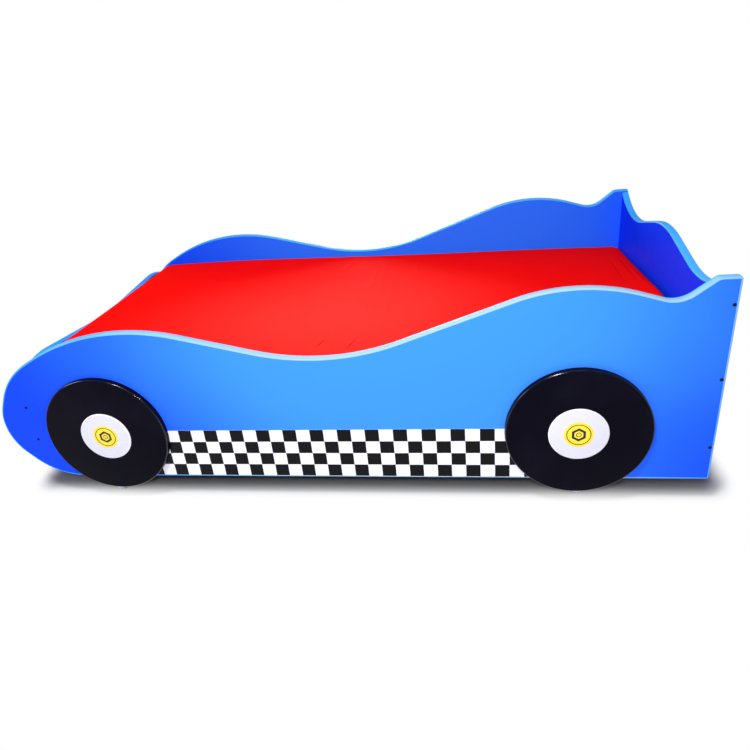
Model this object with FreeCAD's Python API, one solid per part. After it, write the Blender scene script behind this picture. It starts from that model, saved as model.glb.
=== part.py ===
"""A child's car bed: car-shaped side panels, a headboard and a footboard round a slatted base on castors.

X runs from the nose to the rear, Y from the near side to the far side and Z up from the floor.
The origin is on the floor, at the middle of the bed's length and width.
"""

import FreeCAD, Part

import math
import os
from FreeCAD import Vector

os.makedirs("parts", exist_ok=True)

# ---- Driving dimensions, in millimetres -----------------------------------------------------------

BOARD = 16.0
LENGTH = 1494.0
INSIDE_LENGTH = 1400.0
INSIDE_WIDTH = 720.0
UNDERSIDE = 66.0

HEAD_OUT = LENGTH / 2
HEAD_IN = HEAD_OUT - BOARD
FOOT_IN = HEAD_IN - INSIDE_LENGTH
FOOT_OUT = FOOT_IN - BOARD
SIDE_IN = INSIDE_WIDTH / 2
SIDE_OUT = SIDE_IN + BOARD

# The plastic edging glued round the boards: its thickness, and the bevel of its two outer corners.
EDGING = 2.0
EDGING_BEVEL = 1.4
CORNER_R = 9.0

# The car outline: each hump or dip is an arc, given by its highest or lowest point and its radius.
BELLY = {"x": -594.0, "radius": 148.0}
NOSE = {"x": -LENGTH / 2, "z": 204.0, "radius": 110.0}
BONNET = {"x": -558.0, "z": 188.0, "radius": 188.0}
WING_HUMP = {"x": -404.0, "z": 421.0, "radius": 466.0}
DOOR_DIP = {"x": -11.0, "z": 352.0, "radius": 507.0}
REAR_HUMP = {"x": 486.0, "z": 477.0, "radius": 345.0}
TAIL_DIP = {"x": 642.0, "z": 447.0, "radius": 51.0}
TAIL_CREST = {"x": 716.0, "z": 486.0, "radius": 19.0}

# The headboard's and footboard's tops, measured from the middle of the bed's width.
HEAD_HUMP = {"y": 0.0, "z": 479.0, "radius": 272.0}
HEAD_DIP = {"y": 226.0, "z": 438.0, "radius": 242.0}
HEAD_FLARE_Z = 620.0
FOOT_HUMP = {"y": 265.0, "z": 338.0, "radius": 180.0}
FOOT_DIP = {"y": 0.0, "z": 318.0, "radius": 300.0}
FOOT_FALL_Z = 250.0
FOOT_BOTTOM = 106.0
BEYOND_SIDES = 480.0
TRIM = 1.0

# Wheel discs and hub discs on the outside of the side panels.
WHEEL_X = {"front": -498.0, "rear": 493.5}
WHEEL_Z = 181.5
WHEEL_R = 139.0
WHEEL_THICKNESS = 12.0
HUB_R = 57.0
HUB_THICKNESS = 3.0

# The checkered strip between the discs.
CHECK_SQUARE = 29.2
CHECK_ROWS = 4
CHECK_BOTTOM = 70.0
CHECK_THICKNESS = 0.3
CHECK_GAP = 0.2

# The base: castor rails, ledgers, slats.
RAIL_WIDTH = 70.0
RAIL_HEIGHT = 28.0
RAIL_SCREW_UP = 19.0
LEDGER_WIDTH = 30.0
LEDGER_HEIGHT = 40.0
LEDGER_TOP = 210.0
LEDGER_END_GAP = 30.0
SLAT_COUNT = 10
SLAT_WIDTH = 80.0
SLAT_THICKNESS = 18.0
TIMBER_BEVEL = 2.0
SLAT_END_GAP = 2.0
SLAT_TOP = LEDGER_TOP + SLAT_THICKNESS

# The mattress in its fitted sheet.
MATTRESS_LENGTH = 1396.0
MATTRESS_WIDTH = 716.0
MATTRESS_HEIGHT = 105.0
MATTRESS_CROWN = 12.0
MATTRESS_END_CROWN = 4.0
# Turns round the ends' rounded corners, in degrees, at which the mattress has a cross-section.
MATTRESS_END_TURNS = (0.0, 35.0, 70.0)
MATTRESS_LIFT_GAP = 0.3
MATTRESS_EDGE_R = 16.0
MATTRESS_FOOT_BEVEL = 8.0
MATTRESS_PLAN_R = 25.0
SHEET_THICKNESS = 1.5
SHEET_FIT = 0.3
SHEET_HEM = 60.0
HEM_CUT_DEPTH = 5.0

# Castors: the swivel axis is the kingpin, and the wheel trails behind it.
CASTOR_X = {"front": -531.0, "rear": 504.0}
CASTOR_INSET = 60.0
CASTOR_TRAIL = 18.0
CASTOR_WHEEL_R = 25.0
CASTOR_HUB_R = 8.0
CASTOR_HUB_WIDTH = 21.0
CASTOR_PLATE = 50.0
CASTOR_PLATE_THICKNESS = 2.0
CASTOR_PLATE_BEVEL = 6.0
CASTOR_HOLE_SPACING = 38.0
CASTOR_RACE_R = 17.0
CASTOR_RACE_DEPTH = 6.0
CASTOR_RACE_GAP = 0.2
CASTOR_RACE_LOWER = 1.8
FORK_SHEET = 3.0
FORK_TOP_WIDTH = 34.0
FORK_SHOULDER = 6.0
FORK_GAP = 22.0
FORK_LEG = 2.5
FORK_BOSS_R = 8.0
FORK_BOSS_TURNS = (-15.0, -60.0, -105.0, -150.0, -195.0)
FORK_RACE_R = 15.0
KINGPIN_R = 4.0
KINGPIN_HEAD_R = 6.5
KINGPIN_HEAD = 2.6
AXLE_R = 3.0
AXLE_HEAD_R = 5.0
AXLE_HEAD = 1.5
RUNNING_CLEARANCE = 0.05
# The rounded tread as flats: (distance from the wheel's middle plane, radius there).
TREAD = ((-9.5, 17.0), (-7.0, 22.5), (-2.5, CASTOR_WHEEL_R), (2.5, CASTOR_WHEEL_R), (7.0, 22.5), (9.5, 17.0))
TREAD_SIDES = 20
ROUND_SIDES = 12

# Screws: (head radius, head depth, shank radius, length).
CONFIRMAT = (3.5, 3.0, 2.5, 50.0)
WOOD_SCREW = (3.8, 2.5, 2.0, 40.0)
SLAT_SCREW = (3.5, 2.2, 1.8, 34.0)
RAIL_SCREW = (4.2, 3.0, 2.5, 60.0)
DISC_SCREW = (3.5, 2.2, 1.8, 24.0)
PLATE_SCREW = (4.2, 2.4, 2.0, 14.0)

HEAD_SCREW_Z = (141.0, 289.0, 435.0)
FOOT_SCREW_Z = (166.0, 249.0)
LEDGER_SCREWS = 5
DISC_SCREW_CIRCLE_R = 80.0
DISC_SCREW_ANGLES = (90.0, 210.0, 330.0)

TOLERANCE = 0.01
X_AXIS = Vector(1, 0, 0)
Y_AXIS = Vector(0, 1, 0)
Z_AXIS = Vector(0, 0, 1)
SIDES = {"near": -1, "far": 1}


# ---- Outlines: chains of arcs joined by their common tangents ------------------------------------

def hump(place, z, radius):
    """The circle of a rounded hump whose top is at this place."""
    return place, z - radius, radius, 1


def dip(place, z, radius):
    """The circle of a rounded dip whose bottom is at this place."""
    return place, z + radius, radius, -1


def corner(place, z):
    """The circle of a small outer corner, centred here."""
    return place, z, CORNER_R, 1


def tangent(first, second, inset):
    """The two ends of the straight line that joins one circle of a chain to the next."""
    u0, v0, r0, turn0 = first
    u1, v1, r1, turn1 = second
    reach0 = turn0 * r0 - inset
    reach1 = turn1 * r1 - inset
    du = u1 - u0
    dv = v1 - v0
    gap = math.hypot(du, dv)
    lean = (reach1 - reach0) / gap
    square = math.sqrt(1 - lean * lean)
    normal_u = (-dv * square - du * lean) / gap
    normal_v = (du * square - dv * lean) / gap
    start = (u0 + normal_u * reach0, v0 + normal_v * reach0)
    end = (u1 + normal_u * reach1, v1 + normal_v * reach1)
    return start, end


def outline(circles, across, inset=0.0, place=Vector(0, 0, 0)):
    """A closed wire round a chain of circles, set in from the chain's own line, in the across-Z plane."""
    count = len(circles)
    lines = [tangent(circles[i], circles[(i + 1) % count], inset) for i in range(count)]

    def point(uv):
        return place + across * uv[0] + Z_AXIS * uv[1]

    edges = []
    for i in range(count):
        u, v, radius, turn = circles[i]
        arrive = lines[i - 1][1]
        leave = lines[i][0]
        start = math.atan2(arrive[1] - v, arrive[0] - u)
        end = math.atan2(leave[1] - v, leave[0] - u)
        sweep = (end - start) % (2 * math.pi)
        if turn > 0:
            sweep -= 2 * math.pi
        middle = start + sweep / 2
        reach = radius - turn * inset
        top = (u + reach * math.cos(middle), v + reach * math.sin(middle))
        edges.append(Part.Arc(point(arrive), point(top), point(leave)).toShape())
        edges.append(Part.LineSegment(point(leave), point(lines[i][1])).toShape())
    return Part.Wire(edges)


def slab(circles, across, normal, inset, thickness):
    """A flat plate of this outline, centred on the plane through the origin."""
    wire = outline(circles, across, inset, normal * (-thickness / 2))
    return Part.Face(wire).extrude(normal * thickness)


def bevelled_slab(circles, across, normal, thickness):
    """A plate whose two edge corners are bevelled all round."""
    plate = slab(circles, across, normal, 0.0, thickness)
    rims = [e for e in plate.Edges if abs(abs(e.CenterOfMass.dot(normal)) - thickness / 2) < TOLERANCE]
    return plate.makeChamfer(EDGING_BEVEL, rims)


def edged_board(circles, across, normal):
    """A board and the plastic edging that is glued round it."""
    board = slab(circles, across, normal, EDGING, BOARD)
    edging = bevelled_slab(circles, across, normal, BOARD).cut(board)
    return board, edging


def car_outline():
    """The chain of arcs round a side panel, clockwise from under the nose."""
    return [
        (BELLY["x"], UNDERSIDE + BELLY["radius"], BELLY["radius"], 1),
        (NOSE["x"] + NOSE["radius"], NOSE["z"], NOSE["radius"], 1),
        (BONNET["x"], BONNET["z"], BONNET["radius"], 1),
        hump(WING_HUMP["x"], WING_HUMP["z"], WING_HUMP["radius"]),
        dip(DOOR_DIP["x"], DOOR_DIP["z"], DOOR_DIP["radius"]),
        hump(REAR_HUMP["x"], REAR_HUMP["z"], REAR_HUMP["radius"]),
        dip(TAIL_DIP["x"], TAIL_DIP["z"], TAIL_DIP["radius"]),
        hump(TAIL_CREST["x"], TAIL_CREST["z"], TAIL_CREST["radius"]),
        corner(HEAD_OUT - CORNER_R, TAIL_CREST["z"] - CORNER_R),
        corner(HEAD_OUT - CORNER_R, UNDERSIDE + CORNER_R),
    ]


def headboard_outline():
    """A hump between two dips, carried on past the side panels, where it is cut off."""
    return [
        corner(-BEYOND_SIDES, HEAD_FLARE_Z),
        dip(-HEAD_DIP["y"], HEAD_DIP["z"], HEAD_DIP["radius"]),
        hump(HEAD_HUMP["y"], HEAD_HUMP["z"], HEAD_HUMP["radius"]),
        dip(HEAD_DIP["y"], HEAD_DIP["z"], HEAD_DIP["radius"]),
        corner(BEYOND_SIDES, HEAD_FLARE_Z),
        corner(BEYOND_SIDES, 0.0),
        corner(-BEYOND_SIDES, 0.0),
    ]


def footboard_outline():
    """Two humps like front wings with a shallow dip between them, cut off in the same way."""
    return [
        corner(-BEYOND_SIDES, FOOT_FALL_Z),
        hump(-FOOT_HUMP["y"], FOOT_HUMP["z"], FOOT_HUMP["radius"]),
        dip(FOOT_DIP["y"], FOOT_DIP["z"], FOOT_DIP["radius"]),
        hump(FOOT_HUMP["y"], FOOT_HUMP["z"], FOOT_HUMP["radius"]),
        corner(BEYOND_SIDES, FOOT_FALL_Z),
        corner(BEYOND_SIDES, 0.0),
        corner(-BEYOND_SIDES, 0.0),
    ]


# ---- Small helpers ---------------------------------------------------------------------------------

parts = {}


def keep(name, shape):
    """Store a finished piece under its node's name."""
    parts[name] = shape


def block(x0, x1, y0, y1, z0, z1):
    """A plain block between two corners."""
    return Part.makeBox(x1 - x0, y1 - y0, z1 - z0, Vector(x0, y0, z0))


def rod(radius, start, direction, length):
    """A plain round bar."""
    return Part.makeCylinder(radius, length, start, direction)


def bevelled(solid, size, direction):
    """Bevel every straight edge of a block that runs along one direction."""
    chosen = [e for e in solid.Edges if abs(e.tangentAt(e.FirstParameter).dot(direction)) > 1 - TOLERANCE]
    return solid.makeChamfer(size, chosen)


def polygon(corners):
    """A flat face between corners."""
    return Part.Face(Part.makePolygon(corners + corners[:1]))


def faceted_rod(radius, start, direction, length, sides=6):
    """A bar with flats, as wide across its corners as a round one."""
    square = X_AXIS if abs(direction.x) < 0.5 else Y_AXIS
    other = direction.cross(square)
    turns = [2 * math.pi * i / sides for i in range(sides)]
    corners = [start + (square * math.cos(t) + other * math.sin(t)) * radius for t in turns]
    return polygon(corners).extrude(direction * length)


def screw(kind, head_at, direction):
    """A screw sunk flush: its head at head_at and its shank running along direction."""
    head_r, head_depth, shank_r, length = kind
    head = faceted_rod(head_r, head_at, direction, head_depth)
    shank = faceted_rod(shank_r, head_at + direction * head_depth, direction, length - head_depth, 4)
    return head.fuse(shank)


def group(solids):
    """Separate identical solids kept as one node."""
    return Part.makeCompound(solids)


# ---- Boards and edging -----------------------------------------------------------------------------

def make_boards():
    """The four boards with their edgings: two sides, a headboard and a footboard."""
    side, side_edging = edged_board(car_outline(), X_AXIS, Y_AXIS)
    for name, sign in SIDES.items():
        shift = Vector(0, sign * (SIDE_IN + BOARD / 2), 0)
        keep(f"{name}_side_panel", side.translated(shift))
        keep(f"{name}_side_edging", side_edging.translated(shift))

    between = {"headboard": (headboard_outline(), HEAD_IN, UNDERSIDE, HEAD_FLARE_Z),
               "footboard": (footboard_outline(), FOOT_OUT, FOOT_BOTTOM, HEAD_FLARE_Z)}
    for name, (chain, x0, bottom, top) in between.items():
        board, edging = edged_board(chain, Y_AXIS, X_AXIS)
        shift = Vector(x0 + BOARD / 2, 0, 0)
        clip = block(x0 - TRIM, x0 + BOARD + TRIM, -SIDE_IN, SIDE_IN, bottom, top)
        keep(name, board.translated(shift).common(clip))
        keep(f"{name}_edging", edging.translated(shift).common(clip))


# ---- Wheels and strips on the outside ---------------------------------------------------------------

def make_wheels():
    """Black discs with white hub discs in their middles, on both sides."""
    for side, sign in SIDES.items():
        out = Y_AXIS * sign
        for end, x in WHEEL_X.items():
            centre = Vector(x, sign * SIDE_OUT, WHEEL_Z)
            keep(f"{side}_{end}_wheel_disc", rod(WHEEL_R, centre, out, WHEEL_THICKNESS))
            hub_centre = centre + out * WHEEL_THICKNESS
            keep(f"{side}_{end}_hub_disc", rod(HUB_R, hub_centre, out, HUB_THICKNESS))


def make_check_strips():
    """A thin printed strip on each side, trimmed round the wheel discs."""
    for side, sign in SIDES.items():
        y0 = sign * SIDE_OUT
        y1 = sign * (SIDE_OUT + CHECK_THICKNESS)
        top = CHECK_BOTTOM + CHECK_ROWS * CHECK_SQUARE
        strip = block(WHEEL_X["front"], WHEEL_X["rear"], min(y0, y1), max(y0, y1), CHECK_BOTTOM, top)
        for x in WHEEL_X.values():
            start = Vector(x, -BEYOND_SIDES, WHEEL_Z)
            strip = strip.cut(rod(WHEEL_R + CHECK_GAP, start, Y_AXIS, 2 * BEYOND_SIDES))
        keep(f"{side}_check_strip", strip)


# ---- The base ----------------------------------------------------------------------------------------

def make_base():
    """Castor rails across the bed, ledgers along the sides and slats on the ledgers."""
    for end, x in CASTOR_X.items():
        rail = block(x - RAIL_WIDTH / 2, x + RAIL_WIDTH / 2, -SIDE_IN, SIDE_IN,
                     UNDERSIDE, UNDERSIDE + RAIL_HEIGHT)
        keep(f"{end}_castor_rail", bevelled(rail, TIMBER_BEVEL, Y_AXIS))

    for side, sign in SIDES.items():
        y = sorted((sign * SIDE_IN, sign * (SIDE_IN - LEDGER_WIDTH)))
        ledger = block(FOOT_IN + LEDGER_END_GAP, HEAD_IN - LEDGER_END_GAP, y[0], y[1],
                       LEDGER_TOP - LEDGER_HEIGHT, LEDGER_TOP)
        keep(f"{side}_ledger", ledger)

    for number, x in enumerate(slat_places(), 1):
        reach = SIDE_IN - SLAT_END_GAP
        slat = block(x - SLAT_WIDTH / 2, x + SLAT_WIDTH / 2, -reach, reach, LEDGER_TOP, SLAT_TOP)
        keep(f"slat_{number:02d}", bevelled(slat, TIMBER_BEVEL, Y_AXIS))


def slat_places():
    """The middle of each slat along the bed, evenly spread between the ledgers' ends."""
    first = FOOT_IN + LEDGER_END_GAP + SLAT_WIDTH / 2
    last = HEAD_IN - LEDGER_END_GAP - SLAT_WIDTH / 2
    pitch = (last - first) / (SLAT_COUNT - 1)
    return [first + pitch * i for i in range(SLAT_COUNT)]


# ---- The mattress ------------------------------------------------------------------------------------

def cushion_section(x, half_width, height, crown, bottom):
    """One cross-section of the mattress: flat below, bevelled foot, rounded top edges and a crowned top."""
    edge_r = MATTRESS_EDGE_R
    foot = MATTRESS_FOOT_BEVEL
    slant = edge_r * (1 - math.sqrt(0.5))

    def at(y, z):
        return Vector(x, y, bottom + z)

    right_foot = at(half_width, foot)
    right_side = at(half_width, height - edge_r)
    right_top = at(half_width - edge_r, height)
    left_top = at(-half_width + edge_r, height)
    left_side = at(-half_width, height - edge_r)
    left_foot = at(-half_width, foot)
    straight = [(at(-half_width + foot, 0), at(half_width - foot, 0)),
                (at(half_width - foot, 0), right_foot),
                (right_foot, right_side),
                (left_side, left_foot),
                (left_foot, at(-half_width + foot, 0))]
    lines = [Part.LineSegment(start, end).toShape() for start, end in straight]
    right_arc = Part.Arc(right_side, at(half_width - slant, height - slant), right_top).toShape()
    crown_arc = Part.Arc(right_top, at(0, height + crown), left_top).toShape()
    left_arc = Part.Arc(left_top, at(-half_width + slant, height - slant), left_side).toShape()
    return Part.Wire(lines[:3] + [right_arc, crown_arc, left_arc] + lines[3:])


def cushion(inset):
    """The crowned mattress body, set in all round: rounded corners in plan and towards both ends."""
    middle = (HEAD_IN + FOOT_IN) / 2
    half_length = MATTRESS_LENGTH / 2 - inset
    half_width = MATTRESS_WIDTH / 2 - inset
    height = MATTRESS_HEIGHT - 2 * inset
    sections = []
    for angle in MATTRESS_END_TURNS:
        turn = math.radians(angle)
        x = half_length - MATTRESS_PLAN_R * (1 - math.sin(turn))
        in_plan = MATTRESS_PLAN_R * (1 - math.cos(turn))
        fall = MATTRESS_EDGE_R * (1 - math.cos(turn))
        sections.append((x, half_width - in_plan, height - fall, MATTRESS_END_CROWN))
    sections += [(-x, w, h, c) for x, w, h, c in sections]
    sections.append((0.0, half_width, height, MATTRESS_CROWN))
    sections.sort()
    bottom = SLAT_TOP + MATTRESS_LIFT_GAP + inset
    wires = [cushion_section(middle + x, w, h, c, bottom) for x, w, h, c in sections]
    return Part.makeLoft(wires, True, True)


def make_mattress():
    """A foam core in a fitted sheet that wraps under its edges."""
    core = cushion(SHEET_THICKNESS + SHEET_FIT)
    keep("mattress_core", core)
    middle = (HEAD_IN + FOOT_IN) / 2
    hem_x = MATTRESS_LENGTH / 2 - SHEET_HEM
    hem_y = MATTRESS_WIDTH / 2 - SHEET_HEM
    hem = block(middle - hem_x, middle + hem_x, -hem_y, hem_y,
                SLAT_TOP - HEM_CUT_DEPTH, SLAT_TOP + HEM_CUT_DEPTH)
    keep("fitted_sheet", cushion(0.0).cut(cushion(SHEET_THICKNESS)).cut(hem))


# ---- Castors -----------------------------------------------------------------------------------------

def castor_levels():
    """Heights inside a castor: the upper race's bottom and the fork plate's top and bottom."""
    race_bottom = UNDERSIDE - CASTOR_PLATE_THICKNESS - CASTOR_RACE_DEPTH
    fork_top = race_bottom - CASTOR_RACE_GAP - CASTOR_RACE_LOWER
    return race_bottom, fork_top, fork_top - FORK_SHEET


def castor_plate():
    """The screwed plate with the upper race pressed into it, centred on the kingpin, under the rail."""
    half = CASTOR_PLATE / 2
    plate = block(-half, half, -half, half, UNDERSIDE - CASTOR_PLATE_THICKNESS, UNDERSIDE)
    plate = bevelled(plate, CASTOR_PLATE_BEVEL, Z_AXIS)
    race_bottom = castor_levels()[0]
    race = faceted_rod(CASTOR_RACE_R, Vector(0, 0, race_bottom), Z_AXIS, CASTOR_RACE_DEPTH, 2 * ROUND_SIDES)
    return plate.fuse(race)


def castor_kingpin():
    """The rivet, pressed into the plate, whose head holds the fork up."""
    fork_bottom = castor_levels()[2]
    head_top = fork_bottom - CASTOR_RACE_GAP
    length = UNDERSIDE - CASTOR_PLATE_THICKNESS - head_top
    pin = faceted_rod(KINGPIN_R, Vector(0, 0, head_top), Z_AXIS, length, ROUND_SIDES)
    head_bottom = Vector(0, 0, head_top - KINGPIN_HEAD)
    return pin.fuse(faceted_rod(KINGPIN_HEAD_R, head_bottom, Z_AXIS, KINGPIN_HEAD, ROUND_SIDES))


def castor_fork():
    """A pressed fork: a top plate with the lower race, and two legs that taper down to the axle."""
    _, fork_top, fork_bottom = castor_levels()
    half_out = FORK_GAP / 2 + FORK_LEG
    half_top = FORK_TOP_WIDTH / 2
    fork = block(-half_out, half_out, -half_top, half_top, fork_bottom, fork_top)
    race = faceted_rod(FORK_RACE_R, Vector(0, 0, fork_top), Z_AXIS, CASTOR_RACE_LOWER, 2 * ROUND_SIDES)
    shoulder = fork_top - FORK_SHOULDER
    turns = [math.radians(angle) for angle in FORK_BOSS_TURNS]
    boss = [(FORK_BOSS_R * math.cos(t) - CASTOR_TRAIL, FORK_BOSS_R * math.sin(t) + CASTOR_WHEEL_R)
            for t in turns]
    shape = [(-half_top, shoulder), (-half_top, fork_top), (half_top, fork_top), (half_top, shoulder)] + boss
    for x in (-half_out, FORK_GAP / 2):
        leg = polygon([Vector(x, y, z) for y, z in shape])
        fork = fork.fuse(leg.extrude(X_AXIS * FORK_LEG))
    fork = fork.fuse(race)
    hole_r = KINGPIN_R + RUNNING_CLEARANCE
    pin_hole = rod(hole_r, Vector(0, 0, fork_bottom), Z_AXIS, FORK_SHEET + CASTOR_RACE_LOWER)
    return fork.cut(pin_hole).removeSplitter()


def castor_axle():
    """A rivet through the fork's legs and the wheel."""
    half_out = FORK_GAP / 2 + FORK_LEG
    centre = Vector(0, -CASTOR_TRAIL, CASTOR_WHEEL_R)
    axle = faceted_rod(AXLE_R, centre - X_AXIS * half_out, X_AXIS, 2 * half_out, ROUND_SIDES)
    heads = [faceted_rod(AXLE_HEAD_R, centre + X_AXIS * start, X_AXIS, AXLE_HEAD, ROUND_SIDES)
             for start in (half_out, -half_out - AXLE_HEAD)]
    return axle.fuse(heads)


def castor_wheel():
    """A moulded wheel with a rounded tread and a hub that stands out on both sides and turns on the axle."""
    centre = Vector(0, -CASTOR_TRAIL, CASTOR_WHEEL_R)
    turns = [2 * math.pi * (i + 0.5) / TREAD_SIDES for i in range(TREAD_SIDES)]
    to_corner = 1 / math.cos(math.pi / TREAD_SIDES)
    rings = []
    for place, radius in TREAD:
        reach = radius * to_corner
        rings.append([centre + Vector(place, reach * math.sin(t), -reach * math.cos(t)) for t in turns])
    faces = [polygon(rings[0]), polygon(rings[-1])]
    for ring, following in zip(rings, rings[1:]):
        for i in range(TREAD_SIDES):
            faces.append(polygon([ring[i - 1], ring[i], following[i], following[i - 1]]))
    wheel = Part.Solid(Part.Shell(faces))
    hub_start = centre - X_AXIS * (CASTOR_HUB_WIDTH / 2)
    wheel = wheel.fuse(faceted_rod(CASTOR_HUB_R, hub_start, X_AXIS, CASTOR_HUB_WIDTH, ROUND_SIDES))
    return wheel.cut(rod(AXLE_R + RUNNING_CLEARANCE, hub_start, X_AXIS, CASTOR_HUB_WIDTH))


def make_castors():
    """Four castors under the ends of the castor rails, all trailing the same way."""
    kingpins = []
    for side, sign in SIDES.items():
        for end, x in CASTOR_X.items():
            shift = Vector(x, sign * (SIDE_OUT - CASTOR_INSET), 0)
            keep(f"{side}_{end}_castor_plate", castor_plate().translated(shift))
            keep(f"{side}_{end}_castor_fork", castor_fork().translated(shift))
            keep(f"{side}_{end}_castor_axle", castor_axle().translated(shift))
            keep(f"{side}_{end}_castor_wheel", castor_wheel().translated(shift))
            kingpins.append(castor_kingpin().translated(shift))
    keep("castor_kingpins", group(kingpins))


# ---- Fasteners ---------------------------------------------------------------------------------------

def make_fasteners():
    """Every screw, each kind in one node. They cut their own way into the wood, so nothing is drilled."""
    screws = {name: [] for name in ("headboard_screws", "footboard_screws", "ledger_screws",
                                    "castor_rail_screws", "castor_plate_screws", "slat_screws",
                                    "wheel_disc_screws")}
    for side, sign in SIDES.items():
        inwards = Y_AXIS * -sign
        face = sign * SIDE_OUT
        inner = sign * SIDE_IN
        for z in HEAD_SCREW_Z:
            screws["headboard_screws"].append(screw(CONFIRMAT, Vector(HEAD_IN + BOARD / 2, face, z), inwards))
        for z in FOOT_SCREW_Z:
            screws["footboard_screws"].append(screw(CONFIRMAT, Vector(FOOT_IN - BOARD / 2, face, z), inwards))
        ledger_first = FOOT_IN + 2 * LEDGER_END_GAP
        ledger_pitch = (INSIDE_LENGTH - 4 * LEDGER_END_GAP) / (LEDGER_SCREWS - 1)
        ledger_z = LEDGER_TOP - LEDGER_HEIGHT / 2
        for i in range(LEDGER_SCREWS):
            at = Vector(ledger_first + ledger_pitch * i, inner - sign * LEDGER_WIDTH, ledger_z)
            screws["ledger_screws"].append(screw(WOOD_SCREW, at, Y_AXIS * sign))
        for x in CASTOR_X.values():
            for step in (-1, 1):
                at = Vector(x + step * RAIL_WIDTH / 4, face, UNDERSIDE + RAIL_SCREW_UP)
                screws["castor_rail_screws"].append(screw(RAIL_SCREW, at, inwards))
            for dx in (-1, 1):
                for dy in (-1, 1):
                    offset = CASTOR_HOLE_SPACING / 2
                    at = Vector(x + dx * offset, sign * (SIDE_OUT - CASTOR_INSET) + dy * offset,
                                UNDERSIDE - CASTOR_PLATE_THICKNESS)
                    screws["castor_plate_screws"].append(plate_screw(at))
        for x in WHEEL_X.values():
            for angle in DISC_SCREW_ANGLES:
                turn = math.radians(angle)
                at = Vector(x + DISC_SCREW_CIRCLE_R * math.cos(turn), inner,
                            WHEEL_Z + DISC_SCREW_CIRCLE_R * math.sin(turn))
                screws["wheel_disc_screws"].append(screw(DISC_SCREW, at, Y_AXIS * sign))
        for x in slat_places():
            at = Vector(x, inner - sign * LEDGER_WIDTH / 2, SLAT_TOP)
            screws["slat_screws"].append(screw(SLAT_SCREW, at, Z_AXIS * -1))
    for name, solids in screws.items():
        keep(name, group(solids))


def plate_screw(at):
    """A screw up through a castor's plate into the rail, its head under the plate."""
    head_r, head_depth, shank_r, length = PLATE_SCREW
    head = faceted_rod(head_r, at - Z_AXIS * head_depth, Z_AXIS, head_depth)
    return head.fuse(faceted_rod(shank_r, at, Z_AXIS, length, 4))


def main():
    """Build every piece and write one file for each node."""
    make_boards()
    make_wheels()
    make_check_strips()
    make_base()
    make_mattress()
    make_castors()
    make_fasteners()
    for name, shape in parts.items():
        shape.exportStep(f"parts/{name}.step")
    print(len(parts), "nodes written")


main()
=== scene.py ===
"""The looks of a child's car bed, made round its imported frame.

X runs from the nose to the rear, Y from the near side to the far side and Z up from the floor.
Sizes in the settings and the outlines are in millimetres, and MM turns them into Blender's metres.
"""

import math

import bmesh
import bpy
from mathutils import Matrix, Vector


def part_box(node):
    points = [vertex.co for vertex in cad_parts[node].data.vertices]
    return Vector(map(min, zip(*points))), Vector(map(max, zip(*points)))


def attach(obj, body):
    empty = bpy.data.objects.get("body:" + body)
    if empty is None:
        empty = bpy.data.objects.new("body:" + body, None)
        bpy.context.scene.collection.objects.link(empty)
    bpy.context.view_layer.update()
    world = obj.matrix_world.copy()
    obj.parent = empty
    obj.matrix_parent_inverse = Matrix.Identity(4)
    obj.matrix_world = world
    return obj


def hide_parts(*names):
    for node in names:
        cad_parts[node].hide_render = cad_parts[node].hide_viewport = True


bl_info = {
    "name": "Car bed",
    "version": (1, 0, 0),
    "blender": (4, 5, 0),
    "location": "3D View > Sidebar > Car bed",
    "description": "The looks of a child's car bed",
    "category": "Object",
}

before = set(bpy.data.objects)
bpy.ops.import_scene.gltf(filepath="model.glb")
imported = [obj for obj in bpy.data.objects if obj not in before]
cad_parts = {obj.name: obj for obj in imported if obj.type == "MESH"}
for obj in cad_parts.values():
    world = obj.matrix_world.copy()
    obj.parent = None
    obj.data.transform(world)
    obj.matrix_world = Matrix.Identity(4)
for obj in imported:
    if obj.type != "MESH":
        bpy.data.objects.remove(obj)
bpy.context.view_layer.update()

MM = 0.001
SIDES = {"near": -1, "far": 1}
CORNERS = [(side, end) for side in SIDES for end in ("front", "rear")]
X_AXIS = Vector((1, 0, 0))
Y_AXIS = Vector((0, 1, 0))
Z_AXIS = Vector((0, 0, 1))


# ---- The outlines: circles joined by their common tangents, as (across, up, radius, turn) ----

CORNER_R = 9.0
SIDE_CORNER_R = 5.0
REAR_END = 747.0
PANEL_TOP = 486.0
PANEL_FOOT = 66.0
HUMP = 1
DIP = -1
SIDE_CHAIN = [
    (-594.0, 214.0, 148.0, HUMP),
    (-637.0, 204.0, 110.0, HUMP),
    (-558.0, 188.0, 188.0, HUMP),
    (-404.0, 421.0 - 466.0, 466.0, HUMP),
    (-11.0, 352.0 + 507.0, 507.0, DIP),
    (486.0, 477.0 - 345.0, 345.0, HUMP),
    (642.0, 447.0 + 51.0, 51.0, DIP),
    (716.0, PANEL_TOP - 19.0, 19.0, HUMP),
    (REAR_END - SIDE_CORNER_R, PANEL_TOP - SIDE_CORNER_R, SIDE_CORNER_R, HUMP),
    (REAR_END - SIDE_CORNER_R, PANEL_FOOT + SIDE_CORNER_R, SIDE_CORNER_R, HUMP),
]
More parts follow.
